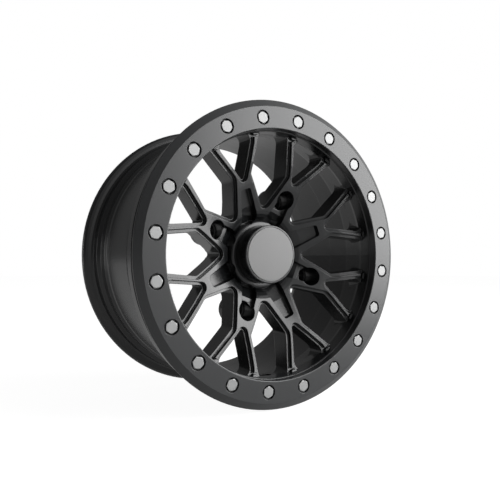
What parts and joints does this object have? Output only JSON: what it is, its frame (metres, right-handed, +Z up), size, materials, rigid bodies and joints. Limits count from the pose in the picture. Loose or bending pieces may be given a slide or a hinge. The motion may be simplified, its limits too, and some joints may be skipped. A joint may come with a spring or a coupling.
{
  "type": "beadlock wheel",
  "caption": "Cast off-road wheel with forked spokes, a bolted ring that clamps the outer tyre bead, and a snap-in centre cap.",
  "frame": {"origin": "centre of the hub mounting face, on the wheel's axis", "axes": "+Y along the wheel's axis towards the vehicle, so the outboard face looks along -Y; +Z up"},
  "size_m": [0.3864, 0.216, 0.3864],
  "materials": {
    "satin_black_coat": "satin black powder coat on cast aluminium",
    "bright_zinc": "bright zinc plate",
    "satin_black_cap": "satin moulded plastic",
    "spring_wire": "drawn spring wire"
  },
  "bodies": {
    "root": {"wheel_casting": "satin_black_coat", "beadlock_ring": "satin_black_coat", "ring_bolts": "bright_zinc", "centre_cap": "satin_black_cap", "cap_disc": "satin_black_cap", "cap_spring": "spring_wire"}
  },
  "joints": []
}
